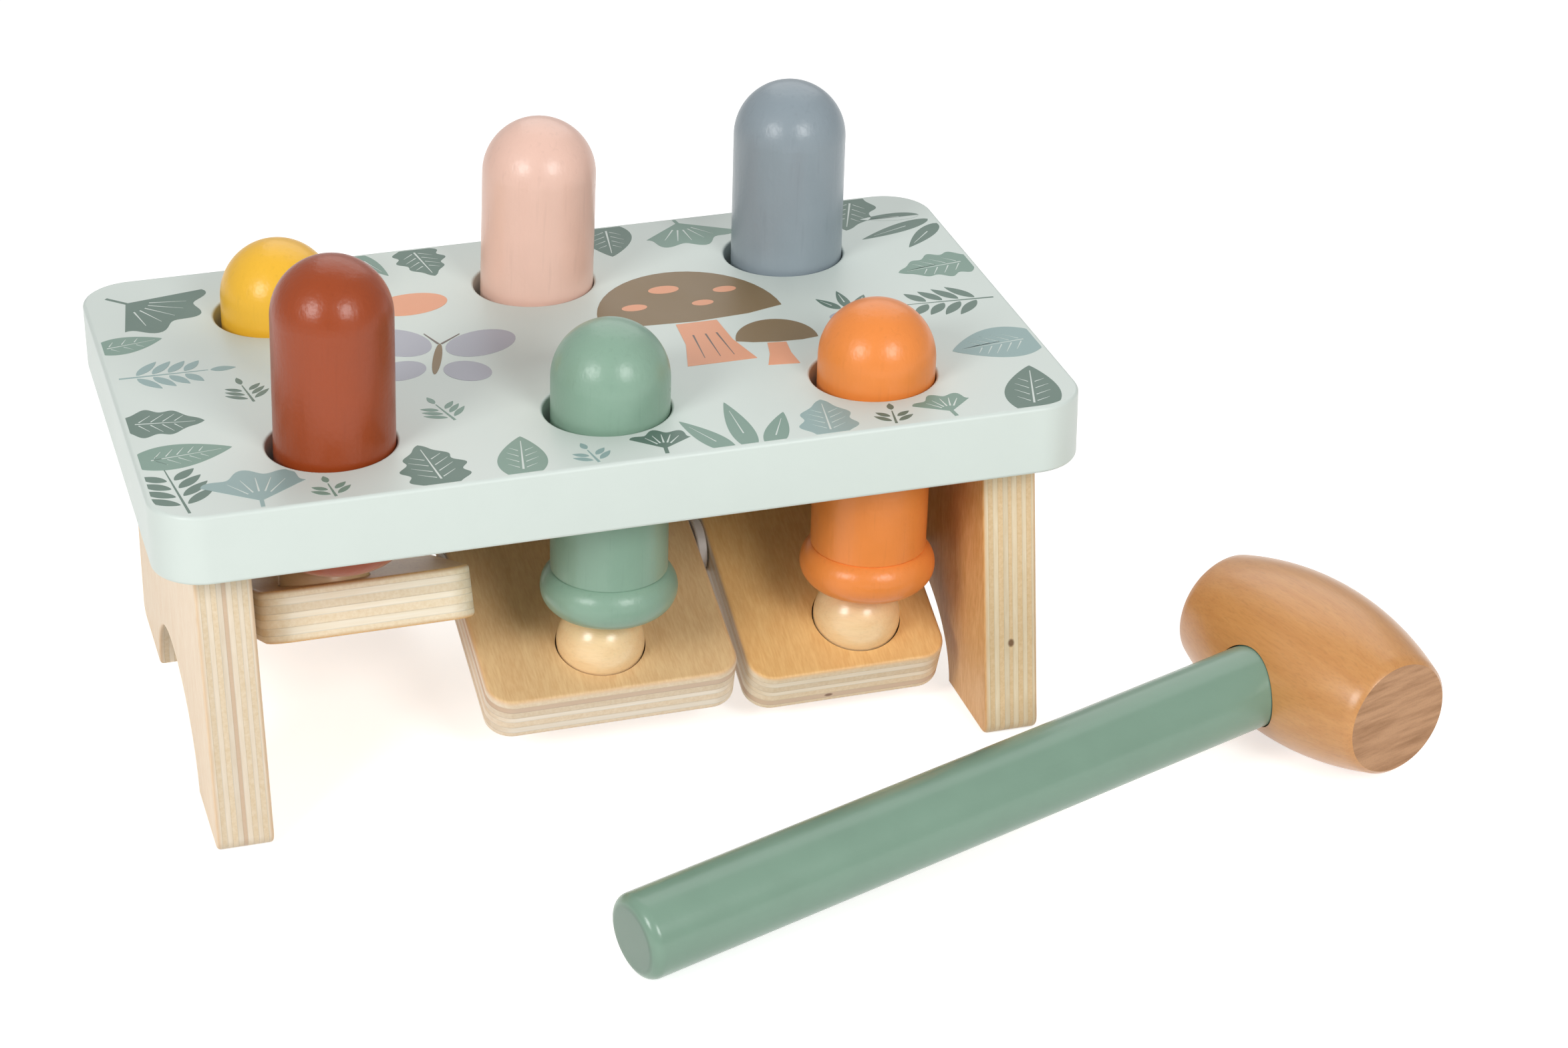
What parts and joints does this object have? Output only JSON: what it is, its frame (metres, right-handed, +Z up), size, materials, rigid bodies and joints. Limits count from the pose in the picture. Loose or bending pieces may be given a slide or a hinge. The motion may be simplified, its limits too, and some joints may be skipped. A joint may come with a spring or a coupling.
{
  "type": "pounding bench toy",
  "caption": "Wooden pounding bench: domed pegs in a board ride on plywood rockers, so hammering one peg down lifts its partner; barrel-headed hammer in front.",
  "frame": {"origin": "on the supporting surface, under the middle of the box round the bench and the hammer lying in front of it", "axes": "+X along the bench to its right as seen from the front, +Y from front to back, +Z up"},
  "size_m": [0.3096, 0.2238, 0.1427],
  "materials": {
    "mint_paint": "satin pale mint paint with a printed leaf border",
    "plywood": "clear-varnished plywood, layers showing on the edges",
    "pale_wood": "clear-varnished pale hardwood",
    "honey_wood": "clear-varnished honey-coloured hardwood",
    "sage_paint": "satin sage green paint",
    "rust_paint": "satin rust paint",
    "yellow_paint": "satin yellow paint",
    "pink_paint": "satin blush pink paint",
    "orange_paint": "satin orange paint",
    "grey_paint": "satin blue-grey paint",
    "zinc_steel": "zinc-plated steel rod",
    "grey_nylon": "moulded nylon"
  },
  "bodies": {
    "bench": {"top_board": "mint_paint", "left_leg": "plywood", "right_leg": "plywood", "left_front_dowel": "pale_wood", "left_back_dowel": "pale_wood", "right_front_dowel": "pale_wood", "right_back_dowel": "pale_wood", "axle": "zinc_steel", "left_inner_spacer": "grey_nylon", "left_outer_spacer": "grey_nylon", "right_inner_spacer": "grey_nylon", "right_outer_spacer": "grey_nylon"},
    "left_rocker_body": {"left_rocker": "plywood", "left_front_ball": "pale_wood", "left_back_ball": "pale_wood"},
    "middle_rocker_body": {"middle_rocker": "plywood", "middle_front_ball": "pale_wood", "middle_back_ball": "pale_wood"},
    "right_rocker_body": {"right_rocker": "plywood", "right_front_ball": "pale_wood", "right_back_ball": "pale_wood"},
    "rust_peg_body": {"rust_peg": "rust_paint"},
    "yellow_peg_body": {"yellow_peg": "yellow_paint"},
    "green_peg_body": {"green_peg": "sage_paint"},
    "pink_peg_body": {"pink_peg": "pink_paint"},
    "orange_peg_body": {"orange_peg": "orange_paint"},
    "grey_peg_body": {"grey_peg": "grey_paint"},
    "hammer_body": {"hammer_head": "honey_wood", "hammer_handle": "sage_paint"}
  },
  "joints": [
    {"name": "left_rocker_tilt", "type": "hinge", "parent": "bench", "child": "left_rocker_body", "pos_m": [-0.03979, 0.04186, 0.03196], "axis": [1, 0, 0], "range_deg": [0, 49]},
    {"name": "middle_rocker_tilt", "type": "hinge", "parent": "bench", "child": "middle_rocker_body", "pos_m": [-0.03979, 0.04186, 0.03196], "axis": [1, 0, 0], "range_deg": [-43.5, 5.5]},
    {"name": "right_rocker_tilt", "type": "hinge", "parent": "bench", "child": "right_rocker_body", "pos_m": [-0.03979, 0.04186, 0.03196], "axis": [1, 0, 0], "range_deg": [-49, 0]},
    {"name": "rust_peg_slide", "type": "slide", "parent": "bench", "child": "rust_peg_body", "axis": [0.0349, 0, 0.9994], "range_m": [-0.0284, 0]},
    {"name": "yellow_peg_slide", "type": "slide", "parent": "bench", "child": "yellow_peg_body", "axis": [0.0175, 0, 0.9998], "range_m": [0, 0.0284]},
    {"name": "green_peg_slide", "type": "slide", "parent": "bench", "child": "green_peg_body", "axis": [0.0297, 0, 0.9996], "range_m": [-0.0032, 0.0252]},
    {"name": "pink_peg_slide", "type": "slide", "parent": "bench", "child": "pink_peg_body", "axis": [0.0523, 0, 0.9986], "range_m": [-0.0252, 0.0032]},
    {"name": "orange_peg_slide", "type": "slide", "parent": "bench", "child": "orange_peg_body", "axis": [0.0349, 0, 0.9994], "range_m": [0, 0.0284]},
    {"name": "grey_peg_slide", "type": "slide", "parent": "bench", "child": "grey_peg_body", "axis": [0.0297, 0, 0.9996], "range_m": [-0.0284, 0]},
    {"name": "hammer_lift", "type": "slide", "parent": "bench", "child": "hammer_body", "axis": [0, 0, 1], "range_m": [0, 0.12]}
  ],
  "couplings": [
    {"joint": "rust_peg_slide", "follows": "left_rocker_tilt", "m_per_rad": -0.03317},
    {"joint": "yellow_peg_slide", "follows": "left_rocker_tilt", "m_per_rad": 0.03317},
    {"joint": "green_peg_slide", "follows": "middle_rocker_tilt", "m_per_rad": -0.03317},
    {"joint": "pink_peg_slide", "follows": "middle_rocker_tilt", "m_per_rad": 0.03317},
    {"joint": "orange_peg_slide", "follows": "right_rocker_tilt", "m_per_rad": -0.03317},
    {"joint": "grey_peg_slide", "follows": "right_rocker_tilt", "m_per_rad": 0.03317}
  ]
}
